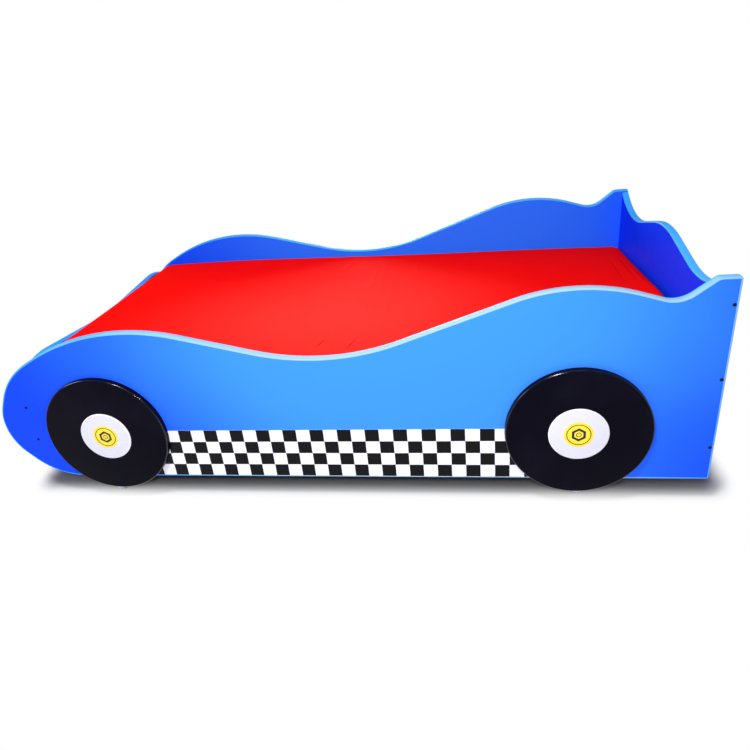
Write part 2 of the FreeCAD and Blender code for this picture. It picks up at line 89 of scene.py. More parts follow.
# An end board's moulding runs well past the board, and is cut at its sides and its foot.
BEYOND = 480.0
BELOW = [(BEYOND, 0.0, CORNER_R, HUMP), (-BEYOND, 0.0, CORNER_R, HUMP)]
HEAD_CHAIN = [
    (-BEYOND, 620.0, CORNER_R, HUMP),
    (-226.0, 438.0 + 242.0, 242.0, DIP),
    (0.0, 479.0 - 272.0, 272.0, HUMP),
    (226.0, 438.0 + 242.0, 242.0, DIP),
    (BEYOND, 620.0, CORNER_R, HUMP),
    *BELOW,
]
FOOT_CHAIN = [
    (-BEYOND, 250.0, CORNER_R, HUMP),
    (-265.0, 338.0 - 180.0, 180.0, HUMP),
    (0.0, 318.0 + 300.0, 300.0, DIP),
    (265.0, 338.0 - 180.0, 180.0, HUMP),
    (BEYOND, 250.0, CORNER_R, HUMP),
    *BELOW,
]
# The longest step and turn between two samples of an outline.
CHAIN_STEP = 6.0
CHAIN_TURN = math.radians(6)

# How far the edging stands proud of the board's faces, and its tongue's depth and its cover.
EDGING_PROUD = 0.3
EDGING_TONGUE = 4.5
TONGUE_COVER = 1.0


def tint(red, green, blue):
    """A colour as it shows on screen, from 0 to 255, turned into Blender's linear values."""
    shown = [value / 255 for value in (red, green, blue)]
    return tuple(v / 12.92 if v <= 0.04045 else ((v + 0.055) / 1.055) ** 2.4 for v in shown)


def colour_setting(name, description, red, green, blue):
    """A colour that a user may change."""
    return bpy.props.FloatVectorProperty(
        name=name, description=f"Colour {description}", subtype="COLOR", size=3, min=0, max=1,
        default=tint(red, green, blue),
    )


def size_setting(name, description, default):
    """A size in millimetres that a user may change."""
    return bpy.props.FloatProperty(
        name=name, description=f"{description}, in mm", default=default, min=0, precision=2
    )


# ---- Settings ----

class BoardSettings(bpy.types.PropertyGroup):
    """The faced boards and their edging."""

    face: colour_setting("Board face", "of the faced board", 10, 98, 255)
    # The next three colours are painted light and shade on the boards' faces: paler where light
    # falls most, deeper where it falls least, and deepest on the end boards.
    pale: colour_setting("Board face, faded", "where daylight has faded it", 62, 146, 255)
    deep: colour_setting("Board face, shaded", "where daylight reaches least", 0, 52, 250)
    painted_shade: colour_setting("Board face, covered", "that daylight never reached", 0, 26, 255)
    edging: colour_setting("Edging", "of the plastic edging", 36, 148, 255)
    # The next two colours are painted light on the edging, and a painted highlight along the side
    # edging's outer part.
    edging_pale: colour_setting("Edging, faded", "where daylight has faded it", 88, 188, 246)
    edging_highlight: colour_setting("Edging, rubbed", "where highlights leave it pale", 148, 184, 216)
    edging_thickness: size_setting("Edging thickness", "How far it stands out from the board", 2.0)
    edging_lip: size_setting("Edging lip", "How far it laps over the board's face", 2.2)
    edging_round: size_setting("Edging corner", "Radius of its two outer corners", 2.4)
    edging_crown: size_setting("Edging crown", "How far its middle stands out", 0.5)


class DiscSettings(bpy.types.PropertyGroup):
    """The wheel discs, hub discs and stickers."""

    black: colour_setting("Wheel disc", "of the black discs", 3, 2, 16)
    white: colour_setting("Hub disc", "of the white discs", 214, 213, 228)
    yellow: colour_setting("Sticker", "of the round stickers", 250, 214, 22)
    ink: colour_setting("Sticker print", "of the print on the stickers", 18, 17, 20)
    rim_round: size_setting("Disc corner", "Radius of a wheel disc's rim corner", 3.0)
    hub_round: size_setting("Hub corner", "Radius of a hub disc's rim corner", 2.0)
    sticker_radius: size_setting("Sticker radius", "Radius of the round stickers", 28.0)
    sticker_thickness: size_setting("Sticker thickness", "Thickness of the round stickers", 0.15)
    check_square: size_setting("Check square", "Side of one square of the checkered strip", 29.2)


class BeddingSettings(bpy.types.PropertyGroup):
    """The mattress and its fitted sheet."""

    sheet: colour_setting("Sheet", "of the fitted sheet", 250, 6, 3)
    cover: colour_setting("Mattress cover", "of the mattress cover", 232, 228, 216)
    mesh: size_setting("Cloth mesh", "Size of the cloth's squares", 8.0)


class BaseSettings(bpy.types.PropertyGroup):
    """The timber base, castors and screws."""

    pine: colour_setting("Pine", "of the pale wood", 222, 184, 132)
    grain: colour_setting("Grain", "of the dark grain", 186, 136, 84)
    zinc: colour_setting("Zinc", "of the bright plated steel", 196, 198, 204)
    nylon: colour_setting("Castor wheel", "of the castor wheels", 204, 204, 222)
    dark: colour_setting("Dark screws", "of the blackened screw heads", 5, 5, 9)


class CarBedSettings(bpy.types.PropertyGroup):
    """Everything that can be changed."""

    boards: bpy.props.PointerProperty(type=BoardSettings)
    discs: bpy.props.PointerProperty(type=DiscSettings)
    bedding: bpy.props.PointerProperty(type=BeddingSettings)
    base: bpy.props.PointerProperty(type=BaseSettings)


# ---- Finishes: shader maths as expressions ----

def maths_method(operation, swapped=False):
    """A method that adds one Math node, with its two values swapped if asked."""
    def method(self, other=0.0):
        values = (other, self) if swapped else (self, other)
        return self.finish.node("ShaderNodeMath", {"operation": operation}, dict(enumerate(values)))
    return method


class Socket:
    """One socket of a finish's nodes. An expression on it adds the Math nodes that it needs."""

    def __init__(self, finish, socket):
        self.finish = finish
        self.socket = socket

    __add__ = maths_method("ADD")
    __radd__ = maths_method("ADD", swapped=True)
    __sub__ = maths_method("SUBTRACT")
    __rsub__ = maths_method("SUBTRACT", swapped=True)
    __mul__ = maths_method("MULTIPLY")
    __rmul__ = maths_method("MULTIPLY", swapped=True)
    __truediv__ = maths_method("DIVIDE")
    __rtruediv__ = maths_method("DIVIDE", swapped=True)
    __pow__ = maths_method("POWER")
    __rpow__ = maths_method("POWER", swapped=True)
    __mod__ = maths_method("FLOORED_MODULO")
    __rmod__ = maths_method("FLOORED_MODULO", swapped=True)
    __lt__ = maths_method("LESS_THAN")
    __gt__ = maths_method("GREATER_THAN")
    __abs__ = maths_method("ABSOLUTE")
    __floor__ = maths_method("FLOOR")
    at_least = maths_method("MAXIMUM")


class Finish:
    """A material, or the world's surround, being made node by node."""

    def __init__(self, name, world=None):
        self.material = world or bpy.data.materials.new(name)
        self.material.use_nodes = True
        self.tree = self.material.node_tree
        self.tree.nodes.clear()

    def node(self, kind, settings=None, values=None, output=0):
        """Add a node: its settings first, then the values or links of its sockets."""
        made = self.tree.nodes.new(kind)
        for name, value in (settings or {}).items():
            setattr(made, name, value)
        for key, value in (values or {}).items():
            if isinstance(value, Socket):
                self.tree.links.new(value.socket, made.inputs[key])
            else:
                made.inputs[key].default_value = value
        return Socket(self, made.outputs[output]) if made.outputs else None

    def place(self):
        """The object's own coordinates, and each of them by itself."""
        point = self.node("ShaderNodeTexCoord", output="Object")
        parts = [self.node("ShaderNodeSeparateXYZ", values={0: point}, output=i) for i in range(3)]
        return point, parts

    def stretched(self, point, scale):
        """Coordinates multiplied along each axis."""
        return self.node("ShaderNodeVectorMath", {"operation": "MULTIPLY"}, {0: point, 1: scale})

    def speckle(self, point, scale, detail=2.0, roughness=0.5, warp=0.0):
        """Noise from 0 to 1."""
        values = {"Vector": point, "Scale": scale, "Detail": detail, "Roughness": roughness}
        return self.node("ShaderNodeTexNoise", values={**values, "Distortion": warp})

    def range(self, value, low, high, start=0.0, end=1.0):
        """A value's range from low to high, mapped smoothly to start to end."""
        values = {"Value": value, 1: low, 2: high, 3: start, 4: end}
        return self.node("ShaderNodeMapRange", {"interpolation_type": "SMOOTHSTEP"}, values)

    def mix(self, share, first, second):
        """One colour mixed into another."""
        values = {0: share, 6: solid(first), 7: solid(second)}
        return self.node("ShaderNodeMix", {"data_type": "RGBA"}, values, output=2)

    def bump(self, height, distance, strength=1.0, normal=None):
        """A bumped normal, from a height of 0 to 1 that stands for a distance in metres."""
        values = {"Height": height, "Distance": distance, "Strength": strength}
        if normal is not None:
            values["Normal"] = normal
        return self.node("ShaderNodeBump", values=values)

    def surface(self, colour, roughness, normal, specular=0.5, metallic=0.0):
        """Finish the material with a Principled shader, and return the material."""
        values = {"Base Color": colour, "Roughness": roughness, "Normal": normal,
                  "Specular IOR Level": specular, "Metallic": metallic}
        return self.output(self.node("ShaderNodeBsdfPrincipled", values=values))

    def output(self, shader):
        """Link a shader to the material's output, and return the material."""
        self.node("ShaderNodeOutputMaterial", values={"Surface": shader})
        return self.material


def solid(colour):
    """A colour as a socket takes it: with an alpha of 1, or a link as it is."""
    if isinstance(colour, Socket):
        return colour
    return (*tuple(colour)[:3], 1.0)


def settings():
    """The scene's settings."""
    return bpy.context.scene.car_bed


def paint(node, material):
    """Give a piece of the frame one material."""
    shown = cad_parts[node]
    shown.data.materials.clear()
    shown.data.materials.append(material)
    return shown


# ---- Shapes ----

def placed(name, data):
    """A new object in the scene, from a bmesh or other data."""
    if isinstance(data, bmesh.types.BMesh):
        shape = data
        data = bpy.data.meshes.new(name)
        shape.to_mesh(data)
        shape.free()
    made = bpy.data.objects.new(name, data)
    bpy.context.scene.collection.objects.link(made)
    return made


def piece(name, shape, material, body, node=None, sharp=40):
    """Turn a bmesh into a piece with one material, which rides on a body and stands for a node.

    Edges that turn by more than sharp, in degrees, stay sharp.
    """
    bmesh.ops.recalc_face_normals(shape, faces=shape.faces)
    made = placed(name, shape)
    made.data.shade_smooth()
    made.data.set_sharp_from_angle(angle=math.radians(sharp))
    made.data.materials.append(material)
    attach(made, body)
    if node:
        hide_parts(node)
    return made


def rings_to_faces(shape, rings, closed=False, around=True):
    """Quads between neighbouring rings of points."""
    corners = [[shape.verts.new(point) for point in ring] for ring in rings]
    pairs = list(zip(corners, corners[1:] + corners[:1] if closed else corners[1:]))
    for ring, following in pairs:
        count = len(ring)
        for i in range(count if around else count - 1):
            j = (i + 1) % count
            shape.faces.new((ring[i], ring[j], following[j], following[i]))


def rounded(corner_a, corner_b, radius, start, end, steps):
    """Points round a corner of a profile, from one angle to another in degrees."""
    points = []
    for i in range(steps + 1):
        angle = math.radians(start + (end - start) * i / steps)
        points.append((corner_a + radius * math.cos(angle), corner_b + radius * math.sin(angle)))
    return points


def turned(shape, profile, frame_matrix, segments):
    """Revolve a profile of (radius, height) points, in mm, about the matrix's Z axis."""
    rings = []
    for i in range(segments):
        angle = 2 * math.pi * i / segments
        across = Vector((math.cos(angle), math.sin(angle), 0))
        rings.append([frame_matrix @ ((across * r + Z_AXIS * h) * MM) for r, h in profile])
    rings_to_faces(shape, rings, closed=True, around=False)
    bmesh.ops.remove_doubles(shape, verts=shape.verts, dist=1e-6)


def facing(place, direction):
    """A matrix at a place whose Z axis points along a direction."""
    turn = Vector(direction).to_track_quat("Z", "Y").to_matrix()
    return Matrix.Translation(place) @ turn.to_4x4()


def joining_angle(first, second):
    """The outward direction of the straight line that joins one circle of a chain to the next."""
    u0, v0, r0, turn0 = first
    u1, v1, r1, turn1 = second
    du = u1 - u0
    dv = v1 - v0
    gap = math.hypot(du, dv)
    lean = (turn1 * r1 - turn0 * r0) / gap
    square = math.sqrt(1 - lean * lean)
    return math.atan2(du * square - dv * lean, -dv * square - du * lean)


def chain_samples(chain):
    """Places round a chain of circles: (centre across, centre up, signed radius, outward angle)."""
    samples = []
    angles = [joining_angle(a, b) for a, b in zip(chain, chain[1:] + chain[:1])]
    for i, (u, v, radius, turn) in enumerate(chain):
        sweep = (angles[i] - angles[i - 1]) % (2 * math.pi)
        if turn == HUMP:
            sweep -= 2 * math.pi
        by_length = math.ceil(abs(sweep) * radius / CHAIN_STEP)
        steps = max(2, by_length, math.ceil(abs(sweep) / CHAIN_TURN))
        for step in range(steps + 1):
            samples.append((u, v, turn * radius, angles[i - 1] + sweep * step / steps))
    return samples


def moulding_profile():
    """The edging's section, closed, as (how far in from the outline, how far across the board)."""
    boards = settings().boards
    low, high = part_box("near_side_panel")
    half = (high.y - low.y) / 2 / MM
    inside = half - TONGUE_COVER
    outside = half + EDGING_PROUD
    lip = boards.edging_thickness + boards.edging_lip
    radius = boards.edging_round
    crown = boards.edging_crown
    top = [(EDGING_TONGUE, inside), (lip, inside), (lip, outside)]
    top += rounded(radius + crown, outside - radius, radius, 90, 180, 5)
    middle = [(crown * (across / (half - radius)) ** 2, across) for across in (4.0, 0.0, -4.0)]
    bottom = [(inset, -across) for inset, across in reversed(top)]
    return top + middle + bottom


def moulding(chain, place, across, normal, clip=()):
    """Sweep the edging's section round a chain, and cut off what lies beyond each clip plane."""
    shape = bmesh.new()
    profile = moulding_profile()
    rings = []
    for u, v, reach, angle in chain_samples(chain):
        ring = []
        for inset, offset in profile:
            along = u + (reach - inset) * math.cos(angle)
            up = v + (reach - inset) * math.sin(angle)
            ring.append(place + (across * along + Z_AXIS * up + normal * offset) * MM)
        rings.append(ring)
    rings_to_faces(shape, rings, closed=True)
    for point, outwards in clip:
        everything = shape.verts[:] + shape.edges[:] + shape.faces[:]
        cut = bmesh.ops.bisect_plane(
            shape, geom=everything, plane_co=point, plane_no=outwards, clear_outer=True
        )
        rim = [e for e in cut["geom_cut"] if isinstance(e, bmesh.types.BMEdge)]
        bmesh.ops.holes_fill(shape, edges=rim)
    return shape


def islands(node):
    """The separate solids of a node, each as the list of its points."""
    shape = bmesh.new()
    shape.from_mesh(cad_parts[node].data)
    bmesh.ops.remove_doubles(shape, verts=shape.verts, dist=1e-6)
    left = set(shape.verts)
    solids = []
    while left:
        reached = [left.pop()]
        found = []
        while reached:
            vert = reached.pop()
            found.append(vert.co.copy())
            for edge in vert.link_edges:
                other = edge.other_vert(vert)
                if other in left:
                    left.remove(other)
                    reached.append(other)
        solids.append(found)
    shape.free()
    solids.sort(key=lambda points: tuple(round(c, 4) for c in sum(points, Vector()) / len(points)))
    return solids


def screw_places(node):
    """Each screw of a node: the middle of its head's outer face, its way outwards, its radius."""
    places = []
    for points in islands(node):
        low = Vector([min(p[i] for p in points) for i in range(3)])
        high = Vector([max(p[i] for p in points) for i in range(3)])
        size = high - low
        axis = max(range(3), key=lambda i: size[i])
        middle = (low + high) / 2
        reach = {}
        for end in (low[axis], high[axis]):
            spread = [p - middle for p in points if abs(p[axis] - end) < 1e-4]
            reach[end] = max(math.hypot(p[axis - 1], p[axis - 2]) for p in spread)
        head = max(reach, key=reach.get)
        outwards = Vector((0, 0, 0))
        outwards[axis] = 1 if head > middle[axis] else -1
        middle[axis] = head
        places.append((middle, outwards, reach[head]))
    return places


# ---- Boards and edging ----

# How far behind the middle the painted light is strongest, and where, out from the bed's middle
# line, the side edging's painted highlight starts and is full, in metres.
PAINTED_LIGHT_X = 0.18
HIGHLIGHT_FROM = 0.364
HIGHLIGHT_TO = 0.367


def painted_light(finish, place, drift):
    """How much painted light each place takes, which makes it paler: most at the near side's top,
    behind the middle.
    """
    x, y, z = place
    low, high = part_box("near_side_panel")
    middle = (low + high) / 2
    lengthways = abs(x - (middle.x + PAINTED_LIGHT_X)) / (high.x - low.x) * 2.0
    upwards = finish.range(z, low.z, high.z * 0.8)
    lit = finish.range(lengthways + (drift - 0.5) * 0.3 - upwards * 0.25, 0.1, 1.0, 1.0, 0.0)
    return lit * finish.range(y, middle.y, -middle.y, 1.0, 0.5)


def board_finish(name, painted_shade, gloss):
    """Faced board: a fine pebbled face, paler with painted light where light falls most, and deeper
    blue with the share of painted shade that it is given.
    """
    boards = settings().boards
    finish = Finish(name)
    point, place = finish.place()
    drift = finish.speckle(point, 2.2, 3.0)
    # Painted light and shade: paler where light falls most, deeper where it falls least.
    colour = finish.mix(painted_light(finish, place, drift), boards.deep, boards.pale)
    colour = finish.mix(0.2, colour, boards.face)
    # Painted shade: the faces deeper blue by the given share.
    colour = finish.mix(painted_shade, colour, boards.painted_shade)
    fine = finish.speckle(point, 420.0, 3.0, 0.6)
    colour = finish.mix((fine - 0.5) * 0.12 + 0.015, colour, tint(90, 170, 255))
    cells = {"Vector": point, "Scale": 700.0}
    pebble = finish.node("ShaderNodeTexVoronoi", {"feature": "SMOOTH_F1"}, cells)
    roughness = finish.range(finish.speckle(point, 9.0, 4.0, 0.6), 0.3, 0.7, 0.36, 0.48)
    return finish.surface(colour, roughness, finish.bump(pebble, 0.00012, 0.35), gloss)


def edging_finish():
    """Light blue plastic strip, paler with painted light as the boards are, and with a painted
    highlight along the side edging's outer part.
    """
    boards = settings().boards
    finish = Finish("edging")
    point, place = finish.place()
    drift = finish.speckle(point, 14.0, 3.0)
    # Painted light, as on the boards: the edging paler where light falls most.
    lit = painted_light(finish, place, drift)
    colour = finish.mix(lit, boards.edging, boards.edging_pale)
    # Painted highlight: the side edging's outer part paler still where the painted light is.
    highlight = finish.range(abs(place[1]), HIGHLIGHT_FROM, HIGHLIGHT_TO) * lit
    colour = finish.mix(highlight, colour, boards.edging_highlight)
    roughness = finish.range(drift, 0.3, 0.7, 0.42, 0.5)
    normal = finish.bump(finish.speckle(point, 900.0, 2.0), 0.00006, 0.3)
    return finish.surface(colour, roughness, normal, 0.1)


class CARBED_OT_boards(bpy.types.Operator):
    """Finish the four boards and make the plastic edging round them"""

    bl_idname = "carbed.boards"
    bl_label = "Boards and edging"

    def execute(self, context):
        sides = board_finish("blue_board_sides", 0.0, 0.08)
        # The end boards get most of the painted shade, a deeper blue.
        ends = board_finish("blue_board_ends", 0.85, 0.02)
        edging = edging_finish()
        for side in SIDES:
            paint(f"{side}_side_panel", sides)
            low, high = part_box(f"{side}_side_panel")
            place = Y_AXIS * (low.y + high.y) / 2
            shape = moulding(SIDE_CHAIN, place, X_AXIS, Y_AXIS)
            piece(f"{side}_side_moulding", shape, edging, "root", f"{side}_side_edging")
        for node, chain in (("headboard", HEAD_CHAIN), ("footboard", FOOT_CHAIN)):
            paint(node, ends)
            low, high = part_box(node)
            place = X_AXIS * (low.x + high.x) / 2
            clip = ((Y_AXIS * low.y, -Y_AXIS), (Y_AXIS * high.y, Y_AXIS), (Z_AXIS * low.z, -Z_AXIS))
            shape = moulding(chain, place, Y_AXIS, X_AXIS, clip)
            piece(f"{node}_moulding", shape, edging, "root", f"{node}_edging")
        return {"FINISHED"}


# ---- Wheel discs, hub discs and stickers ----

# The print on a sticker, in mm: the inner and outer edges of its ring, its nut and its bore.
STICKER_RING = (21.5, 23.3)
STICKER_NUT = (8.2, 13.0)
STICKER_BORE = (3.6, 5.2)
# A face is part of a rim's corner if the cosine of its lean outwards is in this range.
RIM_LEAN = (0.05, 0.98)


def disc_profile(radius, thickness, corner):
    """A disc's section from the middle of its back to the middle of its face, its rim rounded."""
    rim = rounded(radius - corner, thickness - corner, corner, 0, 90, 6)
    return [(0.0, 0.0), (radius, 0.0)] + rim + [(0.0, thickness)]


def black_finish():
    """Satin black board with faint rubbing marks."""
    finish = Finish("black_disc")
    point, _ = finish.place()
    drift = finish.speckle(point, 6.0, 4.0, 0.6)
    scratches = finish.speckle(finish.stretched(point, (40.0, 1.0, 400.0)), 1.0, 3.0)
    wear_and_painted_light = finish.range(drift, 0.4, 0.8, 0.0, 0.06)
    colour = finish.mix(wear_and_painted_light, settings().discs.black, tint(64, 60, 84))
    roughness = finish.range(drift * 0.7 + scratches * 0.3, 0.3, 0.7, 0.3, 0.44)
    normal = finish.bump(finish.speckle(point, 650.0, 2.0), 0.00008, 0.3)
    return finish.surface(colour, roughness, normal, 0.05)


def white_finish():
    """White gloss with a trace of dust."""
    finish = Finish("white_hub")
    point, _ = finish.place()
    drift = finish.speckle(point, 30.0, 4.0)
    dust = finish.range(drift, 0.45, 0.8, 0.0, 0.16)
    colour = finish.mix(dust, settings().discs.white, tint(198, 196, 216))
    roughness = finish.range(drift, 0.3, 0.7, 0.2, 0.32)
    normal = finish.bump(finish.speckle(point, 500.0, 2.0), 0.00005, 0.3)
    return finish.surface(colour, roughness, normal)


def sticker_finish():
    """A printed sticker: a ring round a wheel nut, on yellow."""
    discs = settings().discs
    finish = Finish("sticker")
    point, (x, y, _) = finish.place()
    x = x / MM
    y = y / MM
    distance = (x * x + y * y) ** 0.5
    slanted = abs(x) * 0.5 + abs(y) * math.sqrt(0.75)
    hexagon = abs(x).at_least(slanted)
    printed = 0.0
    for reach, (inner, outer) in (
        (distance, STICKER_RING), (hexagon, STICKER_NUT), (distance, STICKER_BORE)
    ):
        printed = (reach > inner) * (reach < outer) + printed
    drift = finish.speckle(point, 60.0, 3.0)
    paper = finish.mix((drift - 0.5) * 0.5 + 0.15, discs.yellow, tint(255, 232, 90))
    colour = finish.mix(printed, paper, discs.ink)
    normal = finish.bump(drift, 0.00005, 0.3)
    return finish.surface(colour, 0.24, normal)


def make_disc(name, side, corner, segments, face, rim):
    """Make a disc with a finish on its rim's corner. Returns its face's middle and way outwards."""
    low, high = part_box(f"{name}_disc")
    out = Y_AXIS * SIDES[side]
    back = (low + high) / 2
    back.y = low.y if SIDES[side] > 0 else high.y
    thickness = high.y - low.y
    shape = bmesh.new()
    profile = disc_profile((high.x - low.x) / 2 / MM, thickness / MM, corner)
    turned(shape, profile, facing(back, out), segments)
    made = piece(f"{name}_face", shape, face, "root", f"{name}_disc", 50)
    made.data.materials.append(rim)
    least, most = RIM_LEAN
    for polygon in made.data.polygons:
        if least < abs(polygon.normal.dot(out)) < most:
            polygon.material_index = 1
    return back + out * thickness, out


def lacquer_finish(name, colour, pale):
    """The glossy lacquer of a rounded corner."""
    finish = Finish(name)
    point, _ = finish.place()
    drift = finish.speckle(point, 40.0, 4.0)
    shade = finish.mix(finish.range(drift, 0.4, 0.8, 0.0, 0.3), colour, pale)
    roughness = finish.range(drift, 0.3, 0.7, 0.12, 0.22)
    normal = finish.bump(drift, 0.00005, 0.3)
    return finish.surface(shade, roughness, normal)


class CARBED_OT_wheel_discs(bpy.types.Operator):
    """Make the four black wheel discs with their rounded rims"""

    bl_idname = "carbed.wheel_discs"
    bl_label = "Wheel discs"

    def execute(self, context):
        discs = settings().discs
        face = black_finish()
        rim = lacquer_finish("black_rim", discs.black, tint(30, 34, 60))
        for side, end in CORNERS:
            name = f"{side}_{end}_wheel"
            make_disc(name, side, discs.rim_round, 160, face, rim)
        return {"FINISHED"}


class CARBED_OT_hub_discs(bpy.types.Operator):
    """Make the four white hub discs and the round stickers in their middles"""

    bl_idname = "carbed.hub_discs"
    bl_label = "Hub discs and stickers"

    def execute(self, context):
        discs = settings().discs
        face = white_finish()
        # Painted highlight: the white discs' rounded rim corner is given a paler white than their
        # face.
        rim = lacquer_finish("white_rim", tint(246, 246, 252), tint(236, 236, 246))
        sticker = sticker_finish()
        thin = discs.sticker_thickness
        for side, end in CORNERS:
            name = f"{side}_{end}_hub"
            place, out = make_disc(name, side, discs.hub_round, 128, face, rim)
            shape = bmesh.new()
            profile = disc_profile(discs.sticker_radius, thin, thin / 2)
            turned(shape, profile, Matrix.Identity(4), 96)
            made = piece(f"{name}_sticker", shape, sticker, "root")
            made.matrix_world = facing(place, out)
            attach(made, "root")
        return {"FINISHED"}


# Where the first column of squares starts, in mm.
CHECK_START = -336.0


def check_finish():
    """Glossy printed film: black and white squares that start from the strip's bottom edge."""
    finish = Finish("check_print")
    point, (x, _, z) = finish.place()
    square = settings().discs.check_square * MM
    low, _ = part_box("near_check_strip")
    column = math.floor((x - CHECK_START * MM) / square)
    row = math.floor((z - low.z) / square)
    dark = (column + row) % 2.0
    drift = finish.speckle(point, 25.0, 3.0)
    white = finish.mix(drift * 0.35, tint(238, 238, 246), tint(222, 220, 236))
    colour = finish.mix(dark, white, tint(9, 8, 13))
    roughness = finish.range(drift, 0.3, 0.7, 0.2, 0.32)
    return finish.surface(colour, roughness, finish.bump(drift, 0.0001, 0.3), 0.12)


class CARBED_OT_check_strips(bpy.types.Operator):
    """Print the checkered strips"""

    bl_idname = "carbed.check_strips"
    bl_label = "Checkered strips"

    def execute(self, context):
        material = check_finish()
        for side in SIDES:
            paint(f"{side}_check_strip", material)
        return {"FINISHED"}


# ---- The base ----

def timber_finish(name, along):
    """Planed pine whose grain runs along one axis, 0 for X or 1 for Y."""
    base = settings().base
    finish = Finish(name)
    point, _ = finish.place()
    wide = finish.stretched(point, [1.2 if axis == along else 26.0 for axis in range(3)])
    bands = abs(finish.speckle(wide, 1.0, 4.0, 0.6, 0.4) * 9.0 % 1.0 - 0.5) * 2.0
    narrow = finish.stretched(point, [9.0 if axis == along else 420.0 for axis in range(3)])
    fibres = finish.speckle(narrow, 1.0, 3.0, 0.6)
    colour = finish.mix(finish.range(bands, 0.2, 1.0, 0.0, 0.8), base.pine, base.grain)
    colour = finish.mix((fibres - 0.4) * 0.5, colour, tint(160, 112, 66))
    roughness = finish.range(fibres, 0.3, 0.7, 0.5, 0.68)
    normal = finish.bump(bands * 0.4 + fibres * 0.6, 0.0004, 0.5)
    return finish.surface(colour, roughness, normal)


class CARBED_OT_base(bpy.types.Operator):
    """Finish the ledgers, slats and castor rails as planed pine"""

    bl_idname = "carbed.base"
    bl_label = "Timber base"

    def execute(self, context):
        lengthways = timber_finish("timber_lengthways", 0)
        crossways = timber_finish("timber_crossways", 1)
        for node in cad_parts:
            if node.endswith("_ledger"):
                paint(node, lengthways)
            elif node.endswith("_castor_rail") or node.startswith(("slat_0", "slat_1")):
                paint(node, crossways)
        return {"FINISHED"}


# ---- The bedding ----

# The mattress's corners, and how far inside its CAD room its cover and its sheet lie, in mm.
MATTRESS_PLAN_R = 20.0
MATTRESS_EDGE_R = 7.0
MATTRESS_FOOT_R = 8.0
COVER_INSET = 1.8
SHEET_INSET = -1.4
SLAT_GAP = 0.2
# The cover's squares, as a multiple of the sheet's.
COVER_COARSER = 1.4
# The CAD room's crown, and the crown that the foam has.
CAD_CROWN = 12.0
CROWN = 8.0
# Where the foam is fuller, in mm: by the foot, most on the far side, and at the near head corner.
HALF_WIDTH = 358.0
FULLEST_X = -450.0
FULL_REACH = 420.0
FULL_RISE = 7.0
FAR_SHARE = 0.7
HEAD_X = 700.0
HEAD_RISE = 11.2
HEAD_TILT = 19.4
TILT_FROM = -0.15
# The sheet's hem, how far it may settle, its slack, the frames it settles for, and its gap.
SHEET_HEM = 60.0
SHEET_REACH = 5.0
SHEET_SLACK = 0.008
SHEET_FRAMES = 20
CLOTH_GAP = 1.0

# Fine creases in the sheet, in mm: where each starts and ends, its half width and its depth; each
# is also darkened with painted shade.
CREASES = (
    ((-30.0, -305.0), (-8.0, -244.0), 2.4, 1.8),
    ((36.0, -310.0), (62.0, -244.0), 2.2, 1.5),
    ((-150.0, -310.0), (-60.0, -150.0), 3.0, 0.35),
    ((-104.0, -290.0), (-72.0, -190.0), 2.6, 0.35),
    ((-248.0, -280.0), (-266.0, -170.0), 3.0, 0.4),
    ((-96.0, -230.0), (-99.0, -130.0), 3.0, 0.3),
    ((50.0, 190.0), (90.0, 30.0), 3.0, 0.3),
    ((70.0, 110.0), (100.0, -60.0), 3.2, 0.3),
    ((30.0, -170.0), (95.0, -202.0), 3.0, -0.4),
    ((702.0, 270.0), (688.0, -40.0), 3.4, 0.6),
    ((676.0, 240.0), (658.0, -40.0), 3.4, 0.5),
    ((706.0, 190.0), (708.0, -60.0), 3.0, 0.6),
    ((-318.0, 345.0), (-306.0, 110.0), 3.4, 0.3),
    ((-130.0, 345.0), (-132.0, 210.0), 3.0, 0.3),
)
CREASE_RELIEF = 1.2


def crease(finish, x, y, start, end, half_width):
    """A crease's share at each place: 1 along its middle, fading to 0 at its sides and ends."""
    across = Vector((end[0] - start[0], end[1] - start[1]))
    length = across.length
    across.normalize()
    x = x / MM - start[0]
    y = y / MM - start[1]
    along = x * across.x + y * across.y
    aside = abs(x * across.y - y * across.x)
    start_fade = finish.range(along, 0.0, length * 0.35)
    end_fade = finish.range(along, length * 0.5, length, 1.0, 0.0)
    return start_fade * end_fade * finish.range(aside, 0.0, half_width, 1.0, 0.0)


def cotton_finish(name, colour, pale, creases=()):
    """Woven cotton: crossing threads, a soft nap, fine creases darkened with painted shade, and a
    middle made paler by a painted pool of light.
    """
    finish = Finish(name)
    point, (x, y, _) = finish.place()
    weave = {"Vector": point, "Scale": 420.0, "Distortion": 0.6}
    warp, weft = (finish.node("ShaderNodeTexWave", {"bands_direction": way}, weave) for way in "XY")
    threads = warp * 0.5 + weft * 0.5
    drift = finish.speckle(point, 5.0, 4.0, 0.55)
    nap = finish.speckle(point, 260.0, 3.0, 0.6)
    # A painted pool of light: the cloth paler round a spot near its middle, towards the near side.
    wear_and_painted_light = finish.range(((x + 0.02) ** 2.0 + (y * 1.4 + 0.2) ** 2.0) ** 0.5, 0.0, 0.62, 1.0, 0.0)
    shade = finish.mix((drift - 0.5) * 0.2 + (nap - 0.5) * 0.15 + wear_and_painted_light * 0.9 + 0.02, colour, pale)
    roughness = finish.range(drift, 0.3, 0.7, 0.78, 0.9)
    normal = finish.bump(threads * 0.6 + nap * 0.4, 0.0003, 0.5)
    depth = 0.0
    for start, end, half_width, share in creases:
        depth = crease(finish, x, y, start, end, half_width) * share + depth
    if creases:
        # Painted shade: the sheet darker along each crease.
        shade = finish.mix(depth.at_least(0.0) * 0.4, shade, tint(150, 0, 0))
        normal = finish.bump(1.0 - depth, CREASE_RELIEF * MM, 1.0, normal)
    return finish.surface(shade, roughness, normal, 0.02)


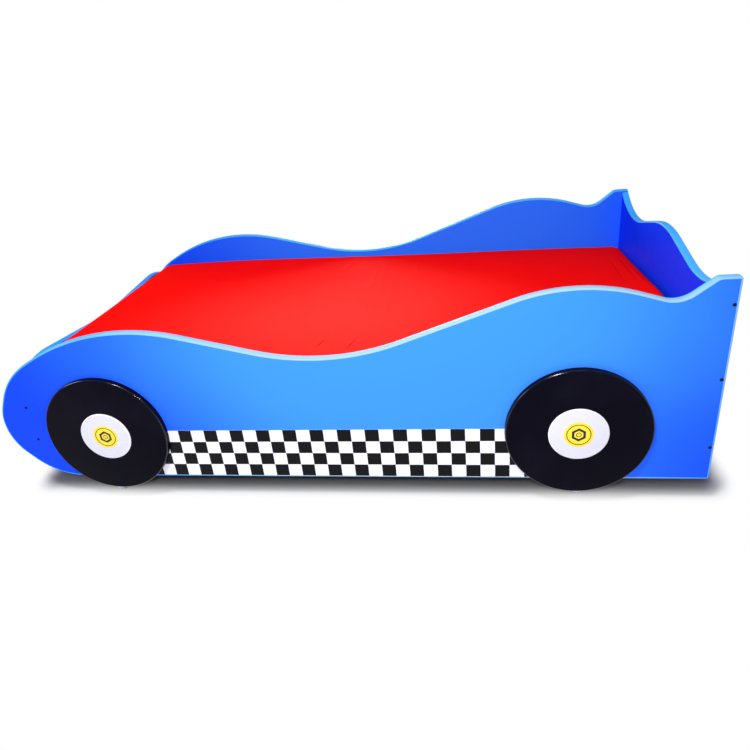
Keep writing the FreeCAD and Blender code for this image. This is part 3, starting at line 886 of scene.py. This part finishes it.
def crown_at(x, y, low, high):
    """How high the mattress's top stands at a place, from 0 at the edge to 1 in the middle."""
    middle = (low + high) / 2
    across = (x - middle.x) / ((high.x - low.x) / 2)
    along = (y - middle.y) / ((high.y - low.y) / 2)
    return max(0.0, 1 - across ** 4) * max(0.0, 1 - along ** 2)


def foam_rise(x, y):
    """How far the foam stands off its plain height at a place, all in mm."""
    full = (x - FULLEST_X) / FULL_REACH
    side = y / HALF_WIDTH
    foot = FULL_RISE * math.exp(-full * full) * (1 + FAR_SHARE * max(0.0, side))
    head = max(0.0, x / HEAD_X) ** 4 * (HEAD_RISE - HEAD_TILT * max(TILT_FROM, side))
    return foot + head


def mattress_shape(inset, voxel):
    """The mattress's body, remeshed into even squares: rounded corners, and a crowned top."""
    low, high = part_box("fitted_sheet")
    bottom = low.z + max(inset, SLAT_GAP * MM)
    top = high.z - CAD_CROWN * MM - inset
    shape = bmesh.new()
    bmesh.ops.create_cube(shape, size=1.0)
    size = Vector((high.x - low.x - 2 * inset, high.y - low.y - 2 * inset, top - bottom))
    middle = Vector(((low.x + high.x) / 2, (low.y + high.y) / 2, (bottom + top) / 2))
    for vert in shape.verts:
        vert.co = Vector([middle[i] + vert.co[i] * size[i] for i in range(3)])

    def bevel(edges, radius, segments):
        bmesh.ops.bevel(
            shape, geom=edges, offset=radius * MM, segments=segments, profile=0.5, affect="EDGES"
        )

    def rim(height):
        return [e for e in shape.edges if all(abs(v.co.z - height) < 1e-5 for v in e.verts)
                and any(abs(f.normal.z) < 0.5 for f in e.link_faces)]

    upright = [e for e in shape.edges if abs(e.verts[0].co.z - e.verts[1].co.z) > size.z / 2]
    bevel(upright, MATTRESS_PLAN_R, 8)
    bevel(rim(top), MATTRESS_EDGE_R, 6)
    bevel(rim(bottom), MATTRESS_FOOT_R, 3)
    start = placed("mattress_start", shape)
    remesh = start.modifiers.new("Remesh", "REMESH")
    remesh.mode = "VOXEL"
    remesh.voxel_size = voxel
    bpy.context.view_layer.update()
    evaluated = start.evaluated_get(bpy.context.evaluated_depsgraph_get())
    shape = bmesh.new()
    shape.from_mesh(evaluated.to_mesh())
    evaluated.to_mesh_clear()
    bpy.data.meshes.remove(start.data)
    for vert in shape.verts:
        x, y, z = vert.co
        if z > top - MATTRESS_EDGE_R * MM:
            share = min(1.0, (z - top) / (MATTRESS_EDGE_R * MM) + 1)
            rise = CROWN * crown_at(x, y, low, high) + foam_rise(x / MM, y / MM)
            vert.co.z += share * rise * MM
    return shape


class CARBED_OT_mattress(bpy.types.Operator):
    """Make the mattress in its cotton cover"""

    bl_idname = "carbed.mattress"
    bl_label = "Mattress"

    def execute(self, context):
        bedding = settings().bedding
        material = cotton_finish("mattress_cover", bedding.cover, tint(250, 248, 240))
        shape = mattress_shape(COVER_INSET * MM, bedding.mesh * COVER_COARSER * MM)
        made = piece("mattress", shape, material, "mattress", "mattress_core", 60)
        return {"FINISHED"}


def settle(sheet, core):
    """Let the sheet, held by its hem and cut a little slack, settle over the mattress as cloth."""
    scene = bpy.context.scene
    start = [vert.co.copy() for vert in sheet.data.vertices]
    foot = min(point.z for point in start) + MATTRESS_FOOT_R * MM
    hem = sheet.vertex_groups.new(name="hem")
    hem.add([i for i, point in enumerate(start) if point.z < foot], 1.0, "ADD")
    cloth = sheet.modifiers.new("Cloth", "CLOTH")
    cotton = cloth.settings
    cotton.quality = 6
    cotton.tension_stiffness = 30.0
    cotton.compression_stiffness = 30.0
    cotton.shear_stiffness = 12.0
    cotton.bending_stiffness = 0.6
    cotton.shrink_min = -SHEET_SLACK
    cotton.vertex_group_mass = "hem"
    cloth.collision_settings.distance_min = CLOTH_GAP * MM
    collision = core.modifiers.new("Collision", "COLLISION")
    core.collision.thickness_outer = CLOTH_GAP * MM
    for step in range(1, SHEET_FRAMES + 1):
        scene.frame_set(step)
    settled = sheet.evaluated_get(bpy.context.evaluated_depsgraph_get()).data
    for vert, before, after in zip(sheet.data.vertices, start, settled.vertices):
        move = after.co - before
        if move.length > SHEET_REACH * MM:
            move *= SHEET_REACH * MM / move.length
        vert.co = before + move
    sheet.modifiers.remove(cloth)
    core.modifiers.remove(collision)
    scene.frame_set(1)


class CARBED_OT_fitted_sheet(bpy.types.Operator):
    """Make the red fitted sheet, with its hem under the mattress"""

    bl_idname = "carbed.fitted_sheet"
    bl_label = "Fitted sheet"

    def execute(self, context):
        bedding = settings().bedding
        low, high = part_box("fitted_sheet")
        shape = mattress_shape(SHEET_INSET * MM, bedding.mesh * MM)
        hem = SHEET_HEM * MM
        inside = [f for f in shape.faces if f.normal.z < -0.9
                  and low.x + hem < f.calc_center_median().x < high.x - hem
                  and low.y + hem < f.calc_center_median().y < high.y - hem]
        bmesh.ops.delete(shape, geom=inside, context="FACES")
        material = cotton_finish("red_sheet", bedding.sheet, tint(255, 50, 44), CREASES)
        made = piece("sheet", shape, material, "mattress", "fitted_sheet", 180)
        settle(made, bpy.data.objects["mattress"])
        for vert in made.data.vertices:
            vert.co.z = max(vert.co.z, low.z)
        smooth = made.modifiers.new("Smooth", "SUBSURF")
        smooth.levels = 1
        smooth.render_levels = 1
        return {"FINISHED"}


# ---- Castors and screws ----

def metal_finish(name, roughness):
    """Plated steel with faint spangle."""
    finish = Finish(name)
    point, _ = finish.place()
    spangle = finish.speckle(point, 180.0, 3.0)
    shade = finish.mix((spangle - 0.5) * 0.6 + 0.2, settings().base.zinc, tint(236, 238, 244))
    rough = finish.range(spangle, 0.3, 0.7, roughness - 0.06, roughness + 0.1)
    normal = finish.bump(spangle, 0.00006, 0.4)
    return finish.surface(shade, rough, normal, metallic=1.0)


def dark_finish():
    """Blackened screw heads."""
    finish = Finish("dark_screw")
    point, _ = finish.place()
    drift = finish.speckle(point, 700.0, 3.0)
    colour = finish.mix(drift * 0.2, settings().base.dark, tint(30, 30, 40))
    normal = finish.bump(drift, 0.0001, 0.4)
    return finish.surface(colour, 0.5, normal, 0.15)


def nylon_finish():
    """Pale moulded nylon."""
    finish = Finish("castor_tread")
    point, _ = finish.place()
    drift = finish.speckle(point, 90.0, 4.0)
    dirt = finish.range(drift, 0.5, 0.8, 0.0, 0.3)
    colour = finish.mix(dirt, settings().base.nylon, tint(150, 148, 158))
    normal = finish.bump(drift, 0.0002, 0.4)
    return finish.surface(colour, 0.3, normal)


# A castor, in mm: its wheel's radius, half the tread's width, the tread's depth, its steel's edges.
CASTOR_R = 25.0
CASTOR_HALF = 9.5
TREAD_DEPTH = 8.0
SOFT_EDGE = 0.4


def castor_wheel_profile(hub_half):
    """The wheel's section from the bore on one side to the bore on the other."""
    half = [
        (3.1, hub_half), (7.3, hub_half), (8.0, hub_half - 0.7), (8.0, CASTOR_HALF - 2.5),
        (9.5, CASTOR_HALF - 3.4), (14.6, CASTOR_HALF - 3.4), (15.6, CASTOR_HALF - 2.2),
        (16.0, CASTOR_HALF - 0.5),
    ]
    for i in range(13):
        angle = math.radians(90 * i / 12)
        reach = CASTOR_R - TREAD_DEPTH * (1 - math.sin(angle))
        half.append((reach, CASTOR_HALF * math.cos(angle)))
    return half + [(r, -h) for r, h in reversed(half[:-1])]


def soften(node):
    """Round a node's sharp edges a little."""
    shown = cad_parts[node]
    weld = shown.modifiers.new("Weld", "WELD")
    weld.merge_threshold = 0.01 * MM
    bevel = shown.modifiers.new("Bevel", "BEVEL")
    bevel.width = SOFT_EDGE * MM
    bevel.segments = 2
    bevel.limit_method = "ANGLE"
    bevel.angle_limit = math.radians(40)


class CARBED_OT_castors(bpy.types.Operator):
    """Finish the castors and make their moulded wheels"""

    bl_idname = "carbed.castors"
    bl_label = "Castors"

    def execute(self, context):
        zinc = metal_finish("zinc_steel", 0.3)
        nylon = nylon_finish()
        for side, end in CORNERS:
            castor = f"{side}_{end}_castor"
            for part in ("plate", "fork", "axle"):
                paint(f"{castor}_{part}", zinc)
                soften(f"{castor}_{part}")
            low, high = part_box(f"{castor}_wheel")
            shape = bmesh.new()
            profile = castor_wheel_profile((high.x - low.x) / 2 / MM)
            turned(shape, profile, facing((low + high) / 2, X_AXIS), 64)
            body = f"{side}_{end}_wheel"
            piece(f"{castor}_tread", shape, nylon, body, f"{castor}_wheel", 50)
        paint("castor_kingpins", zinc)
        return {"FINISHED"}


# The screws: the shape of their drive, their slot, and what they hold.
SCREWS = (
    ("hexagon", "dark_screw", ("headboard", "footboard")),
    ("cross", "zinc_screw", ("ledger", "slat", "castor_plate", "wheel_disc")),
    ("hexagon", "zinc_screw", ("castor_rail",)),
)


def screw_head(shape, place, outwards, radius, drive):
    """A domed head with a hexagonal socket or a crossed slot; the section is in head radii."""
    matrix = facing(place, outwards)
    socket = 0.62 if drive == "hexagon" else 0.55
    rings = []
    for i in range(24):
        angle = 2 * math.pi * i / 24
        across = Vector((math.cos(angle), math.sin(angle), 0))
        if drive == "hexagon":
            flat = angle % (math.pi / 3) - math.pi / 6
            reach = socket * math.cos(math.pi / 6) / math.cos(flat)
        else:
            reach = socket if i % 6 == 0 else socket * 0.3
        section = (
            (0.0, -0.9), (0.6, -0.9), (1.0, -0.35), (1.0, -0.02), (0.93, 0.08),
            (reach + 0.1, 0.16), (reach, 0.13), (reach, 0.02), (0.0, 0.02),
        )
        rings.append([matrix @ ((across * r + Z_AXIS * h) * radius) for r, h in section])
    rings_to_faces(shape, rings, closed=True, around=False)


class CARBED_OT_screws(bpy.types.Operator):
    """Make the screw heads"""

    bl_idname = "carbed.screws"
    bl_label = "Screws"

    def execute(self, context):
        finishes = {"dark_screw": dark_finish(), "zinc_screw": metal_finish("zinc_screw", 0.34)}
        for drive, slot, held in SCREWS:
            for part in held:
                node = f"{part}_screws"
                shape = bmesh.new()
                for place, outwards, radius in screw_places(node):
                    screw_head(shape, place, outwards, radius, drive)
                bmesh.ops.remove_doubles(shape, verts=shape.verts, dist=1e-7)
                piece(f"{part}_screw_heads", shape, finishes[slot], "root", node, 35)
        return {"FINISHED"}


# ---- The stage ----

CAMERA_PLACE = Vector((0.2809, -1.3826, 0.8573))
CAMERA_YAW = -0.1686
CAMERA_PITCH = 0.4253
CAMERA_ROLL = 0.1004
FOCAL_PIXELS = 590.595
CENTRE_PIXEL = (372.66, 337.16)
PHOTO = 750
# Where the floor is darkened with a painted shadow of the bed, and how far round it that painted
# shadow fades, in mm.
SHADOW_X = (-715.0, 757.0)
SHADOW_Y = (-292.0, 292.0)
SHADOW_FADE = 85.0
FLOOR_HALF = 12.0
WHITE = (1.0, 1.0, 1.0, 1.0)
SKY_STRENGTH = 0.22
# Each lamp: name, place, target, size and power.
LAMPS = (
    ("flash", CAMERA_PLACE + Vector((-0.05, 0.0, 0.12)), (0.05, -0.2, 0.25), 0.12, 9.0),
    ("key_lamp", (-0.3, -1.4, 2.3), (0.1, -0.1, 0.2), 0.3, 45.0),
    ("fill_lamp", (-2.2, -0.7, 1.3), (0.4, 0.0, 0.3), 0.8, 15.0),
    ("back_lamp", (-0.4, 2.7, 0.7), (0.0, 0.0, 0.25), 1.0, 40.0),
    ("rear_lamp", (2.7, 0.7, 0.8), (0.4, 0.0, 0.3), 0.8, 22.0),
)


def aim_camera():
    """The camera that took the photograph's view."""
    data = bpy.data.cameras.new("camera")
    made = placed("camera", data)
    forward = Vector((math.sin(CAMERA_YAW) * math.cos(CAMERA_PITCH),
                      math.cos(CAMERA_YAW) * math.cos(CAMERA_PITCH), -math.sin(CAMERA_PITCH)))
    level = Vector((math.cos(CAMERA_YAW), -math.sin(CAMERA_YAW), 0))
    down = forward.cross(level)
    right = level * math.cos(CAMERA_ROLL) + down * math.sin(CAMERA_ROLL)
    down = down * math.cos(CAMERA_ROLL) - level * math.sin(CAMERA_ROLL)
    turn = Matrix((right, -down, -forward)).transposed()
    made.matrix_world = Matrix.Translation(CAMERA_PLACE) @ turn.to_4x4()
    data.sensor_fit = "HORIZONTAL"
    data.sensor_width = 36.0
    data.lens = FOCAL_PIXELS / PHOTO * data.sensor_width
    data.shift_x = (PHOTO / 2 - CENTRE_PIXEL[0]) / PHOTO
    data.shift_y = (CENTRE_PIXEL[1] - PHOTO / 2) / PHOTO
    bpy.context.scene.camera = made


def lamp(name, place, target, size, power):
    """A soft square lamp."""
    data = bpy.data.lights.new(name, "AREA")
    data.size = size
    data.energy = power
    placed(name, data).matrix_world = facing(place, Vector(place) - Vector(target))


def floor_finish():
    """A white floor that takes the bed's real shadow near it, darkened there with a painted shadow,
    and is plain white further off.
    """
    finish = Finish("floor")
    _, (x, y, _) = finish.place()
    beyond = []
    for place, low, high in ((x, *SHADOW_X), (y, *SHADOW_Y)):
        outside = abs(place - (low + high) / 2 * MM) - (high - low) / 2 * MM
        beyond.append(outside.at_least(0.0))
    distance = (beyond[0] ** 2.0 + beyond[1] ** 2.0) ** 0.5
    far = finish.range(distance, 0.0, SHADOW_FADE * MM) ** 2.0
    camera, glossy, clear = (finish.node("ShaderNodeLightPath", output=name) for name in
                             ("Is Camera Ray", "Is Glossy Ray", "Is Transmission Ray"))
    seen = camera.at_least(glossy).at_least(clear)
    # Painted shadow: the floor's own colour grey beneath and round the bed.
    colour = finish.mix(far, tint(122, 122, 126), tint(238, 238, 238))
    matt = finish.node("ShaderNodeBsdfDiffuse", values={"Color": colour})
    white = finish.node("ShaderNodeEmission", values={"Color": WHITE, "Strength": 1.0})
    mixed = finish.node("ShaderNodeMixShader", values={0: seen * far, 1: matt, 2: white})
    return finish.output(mixed)


def sky():
    """A soft white surround, seen as plain white."""
    world = bpy.data.worlds.new("surround")
    bpy.context.scene.world = world
    finish = Finish("surround", world)
    seen = finish.node("ShaderNodeLightPath", output="Is Camera Ray")
    soft = finish.node("ShaderNodeBackground", values={"Color": WHITE, "Strength": SKY_STRENGTH})
    white = finish.node("ShaderNodeBackground", values={"Color": WHITE, "Strength": 1.0})
    mixed = finish.node("ShaderNodeMixShader", values={0: seen, 1: soft, 2: white})
    finish.node("ShaderNodeOutputWorld", values={"Surface": mixed})


class CARBED_OT_stage(bpy.types.Operator):
    """Make the floor, the lamps, the surround and the camera"""

    bl_idname = "carbed.stage"
    bl_label = "Stage"

    def execute(self, context):
        shape = bmesh.new()
        bmesh.ops.create_grid(shape, x_segments=1, y_segments=1, size=FLOOR_HALF)
        floor = placed("floor", shape)
        floor.data.materials.append(floor_finish())
        sky()
        for values in LAMPS:
            lamp(*values)
        aim_camera()
        bpy.context.scene.view_settings.view_transform = "Standard"
        return {"FINISHED"}


# ---- The panel and registration ----

OPERATORS = (
    CARBED_OT_boards, CARBED_OT_wheel_discs, CARBED_OT_hub_discs, CARBED_OT_check_strips,
    CARBED_OT_base, CARBED_OT_mattress, CARBED_OT_fitted_sheet, CARBED_OT_castors,
    CARBED_OT_screws, CARBED_OT_stage,
)


class CARBED_PT_panel(bpy.types.Panel):
    """Lists the bed's operators"""

    bl_idname = "CARBED_PT_panel"
    bl_label = "Car bed"
    bl_space_type = "VIEW_3D"
    bl_region_type = "UI"
    bl_category = "Car bed"

    def draw(self, context):
        for operator in OPERATORS:
            self.layout.operator(operator.bl_idname)


CLASSES = (
    BoardSettings, DiscSettings, BeddingSettings, BaseSettings, CarBedSettings,
    *OPERATORS, CARBED_PT_panel,
)


def register():
    """Register the classes and the scene's settings."""
    for cls in CLASSES:
        bpy.utils.register_class(cls)
    bpy.types.Scene.car_bed = bpy.props.PointerProperty(type=CarBedSettings)


def unregister():
    """Take the settings and the classes away again."""
    del bpy.types.Scene.car_bed
    for cls in reversed(CLASSES):
        bpy.utils.unregister_class(cls)


def main():
    """Make every piece in order."""
    register()
    for operator in OPERATORS:
        getattr(bpy.ops.carbed, operator.bl_idname.removeprefix("carbed."))()


if __name__ == "__main__":
    main()
